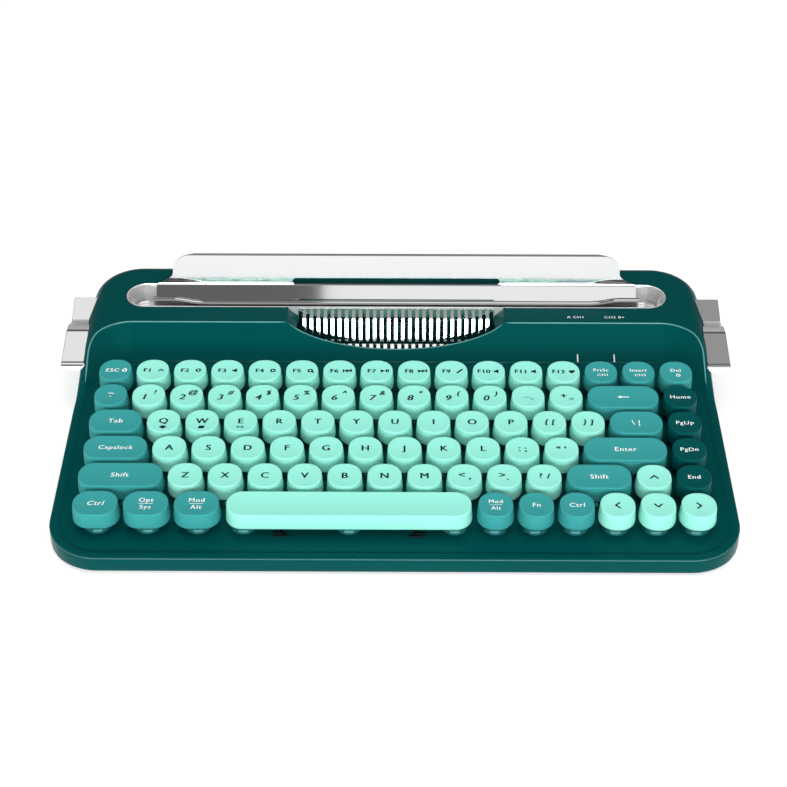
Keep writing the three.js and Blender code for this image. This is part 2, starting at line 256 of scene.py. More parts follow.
def surface(name, colour, roughness, metallic=0.0, coat=0.0, grain=900.0, bump=0.03,
            variation=0.05, wear=0.0, wear_colour=(1, 1, 1), spread=0.06, coat_roughness=0.08,
            tint_specular=None, specular=0.5):
    """Procedural finish: fine moulded grain, uneven gloss, slight colour drift and edge wear."""
    material, tree, bsdf = node_tree(name)
    links = tree.links
    coords = tree.nodes.new("ShaderNodeTexCoord")
    fine = add_node(tree, "ShaderNodeTexNoise", Scale=grain, Detail=3)
    broad = add_node(tree, "ShaderNodeTexNoise", Scale=14.0, Detail=4)
    for n in (fine, broad):
        links.new(coords.outputs["Object"], n.inputs["Vector"])

    tint = colour_mix(tree)
    dark = [c * (1 - variation) for c in colour]
    light = [min(c * (1 + variation), 1) for c in colour]
    tint.inputs["A"].default_value = (*dark, 1)
    tint.inputs["B"].default_value = (*light, 1)
    links.new(broad.outputs["Fac"], tint.inputs["Factor"])
    result = tint.outputs["Result"]

    if wear > 0:
        geometry = tree.nodes.new("ShaderNodeNewGeometry")
        edge = map_range(tree, geometry.outputs["Pointiness"], From_Min=0.53, From_Max=0.62, To_Max=wear)
        rub = math_node(tree, "MULTIPLY", edge.outputs["Result"], broad.outputs["Fac"])
        worn = colour_mix(tree)
        worn.inputs["B"].default_value = (*wear_colour, 1)
        links.new(result, worn.inputs["A"])
        links.new(rub, worn.inputs["Factor"])
        result = worn.outputs["Result"]
    links.new(result, bsdf.inputs["Base Color"])

    gloss = map_range(tree, broad.outputs["Fac"], To_Min=max(roughness - spread, 0.02), To_Max=roughness + spread)
    links.new(gloss.outputs["Result"], bsdf.inputs["Roughness"])

    relief = add_node(tree, "ShaderNodeBump", Strength=bump, Distance=0.0002)
    links.new(fine.outputs["Fac"], relief.inputs["Height"])
    links.new(relief.outputs["Normal"], bsdf.inputs["Normal"])

    constants = {"Metallic": metallic, "Coat Weight": coat, "Coat Roughness": coat_roughness,
                 "Specular IOR Level": specular}
    for key, value in constants.items():
        bsdf.inputs[key].default_value = value
    if tint_specular:
        bsdf.inputs["Specular Tint"].default_value = (*tint_specular, 1)
    return material


KEY_FINISH = {"bump": 0.05, "specular": 0.35}
MIRROR = {"metallic": 1.0, "bump": 0.003, "variation": 0.01, "spread": 0.015, "grain": 300}
GLOSS = {"variation": 0.03, "spread": 0.03}
CASE = surface("case_teal", (0.0002, 0.051, 0.0505), 0.34, coat=0.03, bump=0.012, variation=0.03, wear=0.08,
               wear_colour=(0.02, 0.16, 0.16), coat_roughness=0.10, tint_specular=(0.0, 0.9, 0.9), specular=0.14)
EDGE_GLOSS = surface("case_edge", (0.0004, 0.066, 0.065), 0.30, coat=1.0, bump=0.01, coat_roughness=0.16,
                     tint_specular=(0.3, 0.95, 0.95), **GLOSS)
COLLAR = surface("collar_teal", (0.0004, 0.064, 0.064), 0.30, coat=0.3, bump=0.008, coat_roughness=0.16,
                 tint_specular=(0.1, 0.9, 0.9), **GLOSS)
MINT = surface("key_mint", (0.268, 0.720, 0.602), 0.50, variation=0.02, wear=0.15, wear_colour=(0.45, 0.85, 0.75),
               tint_specular=(0.6, 1.0, 0.95), **KEY_FINISH)
TEAL = surface("key_teal", (0.035, 0.274, 0.272), 0.48, variation=0.03, wear=0.15, wear_colour=(0.10, 0.42, 0.42),
               tint_specular=(0.3, 1.0, 1.0), **KEY_FINISH)
DARK = surface("key_dark", (0.0004, 0.058, 0.058), 0.46, variation=0.04, wear=0.12, wear_colour=(0.03, 0.20, 0.20),
               tint_specular=(0.1, 0.9, 0.9), **KEY_FINISH)
CHROME = surface("chrome", (0.865, 0.867, 0.87), 0.045, **MIRROR)
# A darker copy of the mirror chrome for the back rest: painted shade that dims its reflections.
REST_CHROME_PAINTED_SHADE = surface("chrome_rest_painted_shade", (0.645, 0.647, 0.65), 0.045, **MIRROR)
# Pale teal with a glossy coat: its paler base is a painted highlight along the crease and window-edge lines.
CREASE_PAINTED_HIGHLIGHT = surface("case_crease_painted_highlight", (0.07, 0.235, 0.235), 0.24, coat=1.0, bump=0.01, coat_roughness=0.12,
                 tint_specular=(0.4, 0.95, 0.95), **GLOSS)
SATIN = surface("chrome_satin", (0.72, 0.72, 0.72), 0.28, metallic=0.5, bump=0.01, variation=0.02, spread=0.03,
                grain=300, specular=0.6)
# Dark grey painted shade for the sheet's cut edges and for the scored line of the carriage ends.
SHEET_EDGE_PAINTED_SHADE = surface("sheet_edge_painted_shade", (0.12, 0.12, 0.12), 0.45, metallic=0.4, bump=0.02, variation=0.05)
# Chrome with a pale diffuse share mixed in: painted light that brightens the tray's dark ends.
TRAY_CHROME_PAINTED_LIGHT = surface("chrome_tray_painted_light", (0.88, 0.88, 0.88), 0.10, metallic=0.62, bump=0.003, variation=0.01, spread=0.02,
               grain=300, specular=0.9)
INK_DARK = surface("ink_dark", (0.004, 0.010, 0.014), 0.6, variation=0.2, specular=0.2)
INK_WHITE = surface("ink_white", (0.82, 0.86, 0.86), 0.6, variation=0.03, specular=0.2)
BLACK = surface("black_plastic", (0.004, 0.006, 0.006), 0.5, variation=0.15, bump=0.05, specular=0.2)
RUBBER = surface("rubber", (0.016, 0.016, 0.016), 0.85, variation=0.2, bump=0.3, grain=600)
STEEL = surface("steel", (0.42, 0.43, 0.44), 0.35, metallic=1.0, bump=0.05)
BOARD = surface("board", (0.01, 0.075, 0.035), 0.4, bump=0.1, variation=0.15)
CELL = surface("cell", (0.12, 0.13, 0.14), 0.45, bump=0.1)


def lamp_material():
    material, tree, bsdf = node_tree("indicator")
    noise = add_node(tree, "ShaderNodeTexNoise", Scale=400)
    gloss = map_range(tree, noise.outputs["Fac"], To_Min=0.25, To_Max=0.45)
    tree.links.new(gloss.outputs["Result"], bsdf.inputs["Roughness"])
    bsdf.inputs["Base Color"].default_value = (0.85, 0.83, 0.82, 1)
    return material


LAMP = lamp_material()


# ---- case shape
def rect_depth(x, y, hx, y0, y1, r):
    """Distance inwards from a rounded rectangle's outline, and the y of the nearest outline point."""
    cy, hy = (y0 + y1) / 2, (y1 - y0) / 2
    qx, qy = np.abs(x) - (hx - r), np.abs(y - cy) - (hy - r)
    corner = (qx > 0) & (qy > 0)
    length = np.hypot(np.maximum(qx, 0), np.maximum(qy, 0)) + 1e-9
    depth = np.where(corner, r - length, r - np.maximum(qx, qy))
    ny = np.where(corner, qy / length, np.where(qy > qx, 1.0, 0.0)) * np.sign(y - cy)
    return depth, y + depth * ny


def deck_z(y):
    """Height of the sloping deck that the keys stand on."""
    return 9.1 + (y + 102.0) * math.tan(SLOPE)


def hump_z(y):
    return 37.2 + (y - 60) * 0.0392


def border_z(y):
    """Top line of the border: low beside the deck, rising to the hump."""
    low = deck_z(y) + 0.9
    return low + (hump_z(y) - low) * smooth((y - 2) / 42)


def side_radius(y):
    return 1.3 + 6.9 * smooth((y - 2) / 40)


def case_z(x, y):
    """Height of the case's upper skin: deck, border, slope and hump with a rounded outer shoulder."""
    depth, y_near = rect_depth(x, y, 159.7, -102.0, CREST_Y, 21.0)
    y_near = np.minimum(y_near, CREST_Y)
    top = border_z(y)
    deck = deck_z(y)
    width = 1.4 + 1.38 * (border_z(y_near) - deck_z(y_near))
    soft = 0.5 * (depth + np.sqrt(depth ** 2 + 0.12))
    rear = np.where(y > 20, border_z(y_near), top)
    inner = deck + (np.maximum(top, np.minimum(rear, top + 9)) - deck) * (1 - np.clip(soft / width, 0, 1)) ** 2
    z = np.where(depth > -3, np.minimum(inner, np.where(depth > 0, 99, top)), top)
    edge, _ = rect_depth(x, y, BODY_HALF, FRONT, REAR, CORNER)
    radius = side_radius(y)
    inset = np.clip(radius - edge, 0, radius)
    return z - (radius - np.sqrt(np.maximum(radius ** 2 - inset ** 2, 0)))


def case_top(x, y):
    return float(case_z(np.array(x), np.array(y)))


def steps(*spans):
    """Concatenated evenly spaced spans (start, end, step)."""
    values = []
    for start, end, step in spans:
        count = max(int(round((end - start) / step)), 1)
        values += list(np.linspace(start, end, count, endpoint=False))
    values.append(spans[-1][1])
    return np.array(values)


def plan_half(y):
    over = np.maximum(np.abs(y) - (REAR - CORNER), 0)
    return BODY_HALF - CORNER + np.sqrt(np.maximum(CORNER ** 2 - over ** 2, 0))


def case_grid():
    """Grid over the case's plan, denser along the outline and over the slope."""
    edge = [0, 0.12, 0.35, 0.7, 1.1, 1.6, 2.2, 3.0]
    y_in = steps((3.6, 10, 0.8), (10, 102, 4), (102, 163, 0.8), (163, 196, 4), (196, 202.4, 0.8))
    ys = FRONT + np.concatenate([edge, y_in, 212 - np.array([8.8, 8, 7, 6, 5, 4.2, 3.6] + edge[::-1])])
    ys = np.unique(np.round(ys, 4))
    xs = np.concatenate([edge, steps((3.6, 30, 0.66), (30, 163, 5.3))]) / 163.0
    us = np.concatenate([-1 + xs, (1 - xs)[::-1][1:]])
    x = us[None, :] * plan_half(ys)[:, None]
    y = np.repeat(ys[:, None], len(us), 1)
    return x, y, case_z(x, y)


def bridge(lower, upper):
    """Quads between two rings of point numbers."""
    n = len(lower)
    return [(upper[(i + 1) % n], upper[i], lower[i], lower[(i + 1) % n]) for i in range(n)]


def ring_indices(rows, cols, start):
    """Grid border, counter-clockwise seen from above."""
    at = lambda j, i: start + j * cols + i
    ring = [at(0, i) for i in range(cols)]
    ring += [at(j, cols - 1) for j in range(1, rows)]
    ring += [at(rows - 1, i) for i in range(cols - 2, -1, -1)]
    ring += [at(j, 0) for j in range(rows - 2, 0, -1)]
    return ring


def build_case():
    """Shell of the top case: upper skin, outer wall, lower rim and inner skin."""
    x, y, z = case_grid()
    rows, cols = x.shape
    cells = [j * cols + i for j in range(rows - 1) for i in range(cols - 1)]
    verts = list(zip(x.ravel(), y.ravel(), z.ravel()))
    faces = [(a, a + 1, a + cols + 1, a + cols) for a in cells]
    ring = ring_indices(rows, cols, 0)
    levels = [(0.0, 0.0, 0.66), (0.0, 0.0, 0.33), (0.0, 1.0, 0), (0.12, 0.5, 0), (0.35, 0.15, 0), (0.8, 0.0, 0),
              (2.9, 0.0, 0), (3.0, 0.0, 0.25), (3.0, 0.0, 0.45)]
    previous = ring
    for inset, lift, share in levels:       # share of the wall's height above the case's lowest line
        start = len(verts)
        for k in ring:
            px, py, pz = verts[k]
            verts.append((px * (1 - inset / BODY_HALF), py * (1 - inset / REAR),
                          CASE_LOW + (pz - CASE_LOW) * share + lift))
        current = list(range(start, len(verts)))
        faces += bridge(current, previous)
        previous = current
    inner_start = len(verts)
    wall, drop = 3.2, 2.9
    ix, iy = x * (1 - wall / BODY_HALF), y * (1 - wall / REAR)
    iz = np.minimum(case_z(ix, iy) - drop, z - drop + 0.9)
    verts += list(zip(ix.ravel(), iy.ravel(), iz.ravel()))
    faces += [(a, a + cols, a + cols + 1, a + 1) for a in (inner_start + c for c in cells)]
    faces += bridge(ring_indices(rows, cols, inner_start), previous)
    return make_object("case_shell", verts, faces, [CASE])


def window_loop(margin=0.0, rear=70.0, count=40):
    """Plan of the type bars' window: straight sides and rear, and a front edge that bows forwards."""
    half = WINDOW_HALF + margin
    points = [(half, CREST_Y + 2), (half, rear), (-half, rear), (-half, CREST_Y + 2)]
    for i in range(count + 1):
        a = math.pi * i / count
        bow = 0.5 * math.sin(a) + 0.5 * (1 - abs(math.cos(a)) ** 2)
        points.append((-half * math.cos(a), CREST_Y + 1 - (WINDOW_DIP + 1 + margin) * bow))
    return points


def pill_loop(margin=0.0, arc=16, straight=24):
    """Plan of the tray's opening."""
    hy = (PILL_Y1 - PILL_Y0) / 2 + margin
    cy = (PILL_Y0 + PILL_Y1) / 2
    return [(x, y + cy) for x, y in rounded_loop(PILL_HALF + margin, hy, hy, arc, straight)]


# ---- keys
def row_origin(row):
    """Deck point under a row's key centres."""
    y = ROW0_Y - row * PITCH * math.cos(SLOPE) + CAP_TOP * math.sin(SLOPE)
    z = ROW0_TOP - row * PITCH * math.sin(SLOPE) - CAP_TOP * math.cos(SLOPE)
    return y, z


def place(points, unit, row):
    """Points drawn on the deck, z above it, into the row frame."""
    p = np.array(points, float).reshape(-1, 3)
    y0, z0 = row_origin(row)
    c, s = math.cos(SLOPE), math.sin(SLOPE)
    x = p[:, 0] + (unit - 8) * PITCH
    y = y0 + p[:, 1] * c - p[:, 2] * s
    z = z0 + p[:, 1] * s + p[:, 2] * c
    return np.stack([x, y, z], 1)


DISH = 0.5
TAPER = 0.6
EDGE = 0.45


def top_height(x, y, half_x, half_y):
    """Height of the dished key top above the deck."""
    rx = np.clip((np.abs(x) - (half_x - half_y)) / half_y, 0, 1)
    ry = np.abs(y) / half_y
    r = np.clip(np.hypot(rx, ry), 0, 1)
    return CAP_TOP - DISH * (1 - r ** 2) * 0.9


def cap_mesh(unit_width):
    """Hollow rounded cap with a softly broken top edge and a dished top."""
    hx, hy = (unit_width * PITCH - KEY_GAP) / 2, (PITCH - KEY_GAP) / 2
    straight = max(1, int(unit_width * 3))
    loops = []

    def add(inset, z):
        loop = rounded_loop(hx - inset, hy - inset, max(CAP_RADIUS - inset, 0.4), 9, straight)
        loops.append([(px, py, z) for px, py in loop])

    ceiling = CAP_TOP - 2.4
    inner = 1.35
    for f in (0.05, 0.5):
        loop = rounded_loop((hx - inner) * f + 0.1, (hy - inner) * f + 0.1, CAP_RADIUS * f, 9, straight)
        loops.append([(px, py, ceiling) for px, py in loop])
    add(inner, ceiling)
    add(inner, CAP_LOW + 2)
    add(inner - 0.1, CAP_LOW + 0.1)
    add(inner - 0.3, CAP_LOW)
    add(0.3, CAP_LOW)
    add(0.08, CAP_LOW + 0.12)
    add(0.0, CAP_LOW + 0.5)
    for t in (0.25, 0.5, 0.75):
        add(TAPER * t ** 1.3, CAP_LOW + (CAP_TOP - CAP_LOW - EDGE - 0.1) * t)
    add(TAPER, CAP_TOP - EDGE - 0.1)
    for k in range(1, 5):
        a = math.radians(90 * k / 4)
        add(TAPER + EDGE * (1 - math.cos(a)), CAP_TOP - EDGE - 0.05 + EDGE * math.sin(a))
    rim = TAPER + EDGE
    hx1, hy1 = hx - rim, hy - rim
    for f in (0.93, 0.8, 0.6, 0.35, 0.08):
        # Concentric rings keep the long middle of a wide key.
        loop = rounded_loop(max(hx1 - hy1 * (1 - f), 0.1), hy1 * f, (CAP_RADIUS - rim) * f + 0.01, 9, straight)
        ring = []
        for px, py in loop:
            z = top_height(np.array(px), np.array(py), hx1, hy1)
            ring.append((px, py, float(z) - 0.05))
        loops.append(ring)
    return loft(loops)


def stem_mesh():
    profile = ((2.2, -0.6), (2.5, -0.3), (2.5, 3.0), (2.5, CAP_TOP - 2.3))
    return loft([[(x, y, z) for x, y in circle(r)] for r, z in profile])


CAPS = {}
STEM_VERTS, STEM_FACES = stem_mesh()


def stem_offsets(width):
    """The space bar has three stems, every other key one."""
    return (-50.0, 0.0, 50.0) if width > 6 else (0.0,)


def key_object(name, keys, material):
    """One object for keys given as (row, first unit, width)."""
    verts, faces = [], []
    for row, unit, width in keys:
        if width not in CAPS:
            CAPS[width] = cap_mesh(width)
        v, f = CAPS[width]
        add_part(verts, faces, place(v, unit + width / 2, row), f)
        for offset in stem_offsets(width):
            moved = np.array(STEM_VERTS, float) + np.array([offset, 0, 0])
            add_part(verts, faces, place(moved, unit + width / 2, row), STEM_FACES)
    return sharpen(make_object(name, verts, faces, [material]), 50)


def run(row, first, count):
    """Neighbouring keys one unit wide."""
    return [(row, first + i, 1) for i in range(count)]


MINT_KEY, TEAL_KEY, DARK_KEY = (MINT, "mint_key"), (TEAL, "teal_key"), (DARK, "dark_key")
SINGLES = [("esc", (0, 0, 1), TEAL_KEY), ("backspace", (1, 13, 2), TEAL_KEY), ("tab", (2, 0, 1.5), TEAL_KEY),
           ("caps", (3, 0, 1.75), TEAL_KEY), ("enter", (3, 12.75, 2.25), TEAL_KEY),
           ("shift_left", (4, 0, 2.25), TEAL_KEY), ("shift_right", (4, 12.25, 1.75), TEAL_KEY),
           ("space", (5, 3.79, 6.18), MINT_KEY)]
for letters, row, first in (("qwertyuiop", 2, 1.5), ("asdfghjkl", 3, 1.75), ("zxcvbnm", 4, 2.25)):
    SINGLES += [(letter, (row, first + i, 1), MINT_KEY) for i, letter in enumerate(letters)]
# (bank, keys, finish) and the name of the piece where it isn't "caps_" and the bank.
BANKS = [
    ("f1_f6", run(0, 1, 6), MINT_KEY),
    ("f7_f12", run(0, 7, 6), MINT_KEY),
    ("print_insert_delete", run(0, 13, 3), TEAL_KEY),
    ("tilde_to_5", run(1, 1, 5), MINT_KEY, "caps_1_to_5"),
    ("tilde_to_5", run(1, 0, 1), TEAL_KEY, "cap_tilde"),
    ("6_to_equals", run(1, 6, 7), MINT_KEY),
    ("brackets", run(2, 11.5, 2), MINT_KEY),
    ("brackets", [(2, 13.5, 1.5)], TEAL_KEY, "cap_backslash"),
    ("semicolon_quote", run(3, 10.75, 2), MINT_KEY),
    ("comma_period_slash", run(4, 9.25, 3), MINT_KEY),
    ("home_end_column", [(r, 15, 1) for r in (1, 2, 3, 4)], DARK_KEY),
    ("modifiers_left", [(5, i * 1.25, 1.25) for i in range(3)], TEAL_KEY),
    ("modifiers_right", run(5, 10, 3), TEAL_KEY),
    ("arrows", run(5, 13, 3) + [(4, 14, 1)], MINT_KEY),
]
key_pieces = [("key_" + name, "cap_" + name, [key], finish) for name, key, finish in SINGLES]
key_pieces += [("keys_" + bank, name[0] if name else "caps_" + bank, keys, finish)
               for bank, keys, finish, *name in BANKS]

ALL_KEYS = []       # (body, key)
for node, name, keys, (material, slot_name) in key_pieces:
    piece = key_object(name, keys, material)
    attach(piece, node)
    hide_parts(node)
    ALL_KEYS += [(node, key) for key in keys]


# ---- case assembly
shell = build_case()
PORT_X, SWITCH_X, REAR_HOLE_Z = 110, 78, 14.6
port = prism("c3", [(x + PORT_X, y) for x, y in rounded_loop(4.6, 6, 0.5, 2)], -1.7, 1.7)
switch_slot = prism("c4", [(x + SWITCH_X, y) for x, y in rounded_loop(5, 6, 0.5, 2)], -2, 2)
for rear_hole in (port, switch_slot):
    for v in rear_hole.data.vertices:
        v.co.z += REAR_HOLE_Z * MM
        v.co.y += REAR * MM
STEM_PLACES = [(row, unit + width / 2, offset) for _, (row, unit, width) in ALL_KEYS
               for offset in stem_offsets(width)]
hole_verts, hole_faces = loft([[(x, y, z) for x, y in circle(STEM_HOLE)] for z in (-6.5, 2.0)])
verts, faces = [], []
for row, centre, offset in STEM_PLACES:
    add_part(verts, faces, place(np.array(hole_verts) + np.array([offset, 0, 0]), centre, row), hole_faces)
cutters = [prism("c1", window_loop(), 8, 60), prism("c2", pill_loop(), 20, 60), port, switch_slot,
           make_object("c5", verts, faces, [])]
cut(shell, cutters)
sharpen(shell, 32)
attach(shell, "case")
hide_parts("top_case")


def collars_object():
    """Low round collars moulded round every stem."""
    profile = [(STEM_HOLE, -2.6), (STEM_HOLE, 3.0), (3.7, 3.3), (4.4, 3.15), (5.3, 2.55), (6.0, 1.75), (6.55, 0.9),
               (6.95, 0.1), (7.0, -1.2), (3.6, -2.6)]
    count = 32
    rings = [range(k * count, (k + 1) * count) for k in range(len(profile))]
    ring_faces = [face for k, ring in enumerate(rings) for face in bridge(rings[(k + 1) % len(rings)], ring)]
    verts, faces = [], []
    for row, centre, offset in STEM_PLACES:
        points = [(x + offset, y, z) for r, z in profile for x, y in circle(r, count)]
        add_part(verts, faces, place(points, centre, row), ring_faces)
    return sharpen(make_object("stem_collars", verts, faces, [COLLAR]), 40)


collars = collars_object()
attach(collars, "case")


FRAME_LOW = 14.6


def window_frame():
    """Teal side walls that go down from the window's edge, with a rounded lip."""
    loop = window_loop()
    outer = window_loop(1.6, 71.0)

    def inside(x, y, z):
        """Side walls lean inwards as they go down."""
        t = min(max((abs(x) - 52.0) / 5.5, 0.0), 1.0)
        return (math.copysign(abs(x) - 5.0 * t ** 3, x), y + 0.45, z)

    tops = [case_top(x, y) for x, y in loop]
    outer_tops = [case_top(x, y) for x, y in outer]
    rings = [
        [(x, y, FRAME_LOW) for x, y in outer],
        [(x, y, t - 1.0) for (x, y), t in zip(outer, outer_tops)],
        [(x * 0.4 + u * 0.6, y * 0.4 + v * 0.6, s * 0.4 + t * 0.6 + 0.10)
         for (x, y), (u, v), t, s in zip(outer, loop, tops, outer_tops)],
        [(x, y, t + 0.02) for (x, y), t in zip(loop, tops)],
        [(x * 0.9965, y + 0.35, t - 0.35) for (x, y), t in zip(loop, tops)],
        [(x * 0.9955, y + 0.45, t - 1.2) for (x, y), t in zip(loop, tops)],
        [inside(x, y, max(t - 5.5, 15.0)) for (x, y), t in zip(loop, tops)],
        [inside(x, y, FRAME_LOW) for x, y in loop],
    ]
    verts, faces = loft(rings, False, False)
    n = len(loop)
    last = (len(rings) - 1) * n
    faces += [(last + i, last + (i + 1) % n, (i + 1) % n, i) for i in range(n)]
    return sharpen(make_object("window_frame", verts, faces, [CASE]), 40)


frame_piece = window_frame()
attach(frame_piece, "case")


def bead(name, path, radius, material):
    """A fine rounded ridge that follows a line on the case and tapers at its ends."""
    points = [Vector(p) for p in path]
    count = len(points)
    verts, faces = [], []
    for k, p in enumerate(points):
        t = (points[min(k + 1, count - 1)] - points[max(k - 1, 0)]).normalized()
        side_vector = t.cross(Vector((0, 0, 1))).normalized()
        up = side_vector.cross(t)
        taper = min(1.0, 0.25 + 0.25 * min(k, count - 1 - k))
        for i in range(8):
            c = 2 * math.pi * i / 8
            q = p + (side_vector * math.cos(c) + up * math.sin(c)) * radius * taper
            verts.append(tuple(q))
    for k in range(0, (count - 1) * 8, 8):
        faces += [(k + i, k + (i + 1) % 8, k + 8 + (i + 1) % 8, k + 8 + i) for i in range(8)]
    faces += [tuple(range(7, -1, -1)), tuple((count - 1) * 8 + i for i in range(8))]
    return face_outwards(make_object(name, verts, faces, [material]))


def on_case(points, lift):
    """Plan points put on the case's upper skin."""
    xs, ys = np.array([p[0] for p in points]), np.array([p[1] for p in points])
    return [(x, y, z + lift) for x, y, z in zip(xs, ys, case_z(xs, ys))]


def crease_path(side):
    """Crest line of the slope, which turns forwards along the border."""
    points = [(side * x, CREST_Y + 0.1) for x in np.linspace(WINDOW_HALF + 0.6, 138.7, 60)]
    for k in range(1, 25):
        a = math.radians(90 - 90 * k / 24)
        points.append((side * (138.7 + 21.1 * math.cos(a)), 30 + 21.1 * math.sin(a)))
    points += [(side * 159.8, y) for y in np.linspace(29, 14, 12)]
    return on_case(points, -0.12)


def rim_path():
    """Outer rim of the border, round the front of the case."""
    inset = 0.42
    r = CORNER - inset
    hx, hy = BODY_HALF - CORNER, REAR - CORNER
    points = [(-BODY_HALF + inset, y) for y in np.linspace(4, -hy, 40)]
    points += [(-hx - r * math.cos(a), -hy - r * math.sin(a)) for a in np.linspace(0, math.pi / 2, 40)[1:]]
    points += [(x, -REAR + inset) for x in np.linspace(-hx, hx, 60)[1:-1]]
    points += [(hx + r * math.sin(a), -hy - r * math.cos(a)) for a in np.linspace(0, math.pi / 2, 40)]
    points += [(BODY_HALF - inset, y) for y in np.linspace(-hy, 4, 40)[1:]]
    return on_case(points, -0.14)


def arc_path():
    """Front edge of the window."""
    half = WINDOW_HALF + 0.25
    points = []
    for k in range(61):
        x = -half + 2 * half * k / 60
        c = min(abs(x) / half, 1.0)
        dip = 0.5 * math.sqrt(1 - c * c) + 0.5 * (1 - c * c)
        points.append((x, CREST_Y + 1 - (WINDOW_DIP + 1.3) * dip))
    return on_case(points, -0.02)


well = on_case([(x, 34.6) for x in np.linspace(-139, 139, 90)], 0.05)
# The crease and window beads wear a pale teal, a painted highlight line; the rim and key-well beads take their
# highlight from gloss.
beads = [
    bead("crease_bead_left", crease_path(-1), 0.45, CREASE_PAINTED_HIGHLIGHT),
    bead("crease_bead_right", crease_path(1), 0.45, CREASE_PAINTED_HIGHLIGHT),
    bead("rim_bead", rim_path(), 0.42, EDGE_GLOSS),
    bead("window_bead", arc_path(), 0.28, CREASE_PAINTED_HIGHLIGHT),
    bead("key_well_bead", well, 0.30, EDGE_GLOSS),
]
beads = join("case_edge_beads", beads)
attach(beads, "case")

# ---- chrome pieces
def tray_object():
    """Chrome bowl with a rolled rim on the hump, in a chrome paled with painted light."""
    profile = [(-0.32, -9.0), (-0.32, -0.6), (-0.32, -0.1), (-0.38, 0.12), (-0.55, 0.2), (-0.74, 0.16),
               (-0.88, 0.0), (-0.95, -0.8)]
    bowl = [(-1.5, 30.0), (-1.7, 28.6), (-2.3, 27.6), (-3.4, 27.05), (-6.0, 27.0), (-9.0, 27.0)]
    loops = [[(x, y, hump_z(y) + rise) for x, y in pill_loop(margin)] for margin, rise in profile]
    loops += [[(x, y, z) for x, y in pill_loop(margin)] for margin, z in bowl]
    verts, faces = loft(loops, False, True)
    under = len(verts)
    floor = [(x, y, 25.8) for x, y in pill_loop(-0.32)]
    n = len(floor)
    verts += floor
    verts.append((0.0, (PILL_Y0 + PILL_Y1) / 2, 25.8))
    for i in range(n):
        j = (i + 1) % n
        faces.append((under + i, under + j, j, i))
        faces.append((under + n, under + j, under + i))
    return sharpen(make_object("tray_chrome", verts, faces, [TRAY_CHROME_PAINTED_LIGHT]), 45)


tray = tray_object()
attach(tray, "case")
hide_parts("tray_liner")

BEND = (83.3, 39.7)     # (y, z) where the back rest leaves the floor
REST_TALL = 17.25
REST_HALF = 129.6
LEAN = math.radians(13)


def rest_profile():
    """Centre line of the bent sheet as (y, z), with rounded bends."""
    line = [(66.15, 37.9), (66.9, 39.1), (68.1, 38.9), (68.6, 31.0), (75.5, 31.6), BEND,
            (BEND[0] + REST_TALL * math.sin(LEAN), BEND[1] + REST_TALL * math.cos(LEAN))]
    radii = [0, 0.6, 0.6, 1.6, 3.0, 1.3, 0]
    points = [line[0]]
    for i in range(1, len(line) - 1):
        p, a, b = Vector(line[i]), Vector(line[i - 1]), Vector(line[i + 1])
        da, db = (a - p).normalized(), (b - p).normalized()
        t = radii[i]
        for k in range(7):
            s = k / 6
            q = (p + da * t) * (1 - s) ** 2 + p * (2 * s * (1 - s)) + (p + db * t) * s ** 2
            points.append((q.x, q.y))
    points.append(line[-1])
    dense = []
    for (y0, z0), (y1, z1) in zip(points, points[1:]):
        count = max(int(math.hypot(y1 - y0, z1 - z0) / 0.8), 1)
        dense += [(y0 + (y1 - y0) * k / count, z0 + (z1 - z0) * k / count) for k in range(count)]
    dense.append(points[-1])
    return dense


def rest_half(z):
    """Half width of the back rest at a height: flared foot, straight side, rounded top corner."""
    low, top = BEND[1], BEND[1] + REST_TALL * math.cos(LEAN)
    if z <= low + 0.3:
        return REST_HALF
    t = (z - low - 0.3) / 6.2
    if t < 1:
        return REST_HALF - 9.0 * math.sin(t * math.pi / 2) ** 0.7
    r = 11.0
    d = top - z
    if d >= r * 0.86:
        return 120.6
    u = 1 - d / (r * 0.86)
    return 120.6 - 12.0 * (1 - math.sqrt(max(1 - u * u, 0)))


def lip_rise(x):
    """The front lip is higher towards its ends."""
    return 2.1 * float(smooth(np.array((abs(x) - 104.0) / 15.0)))


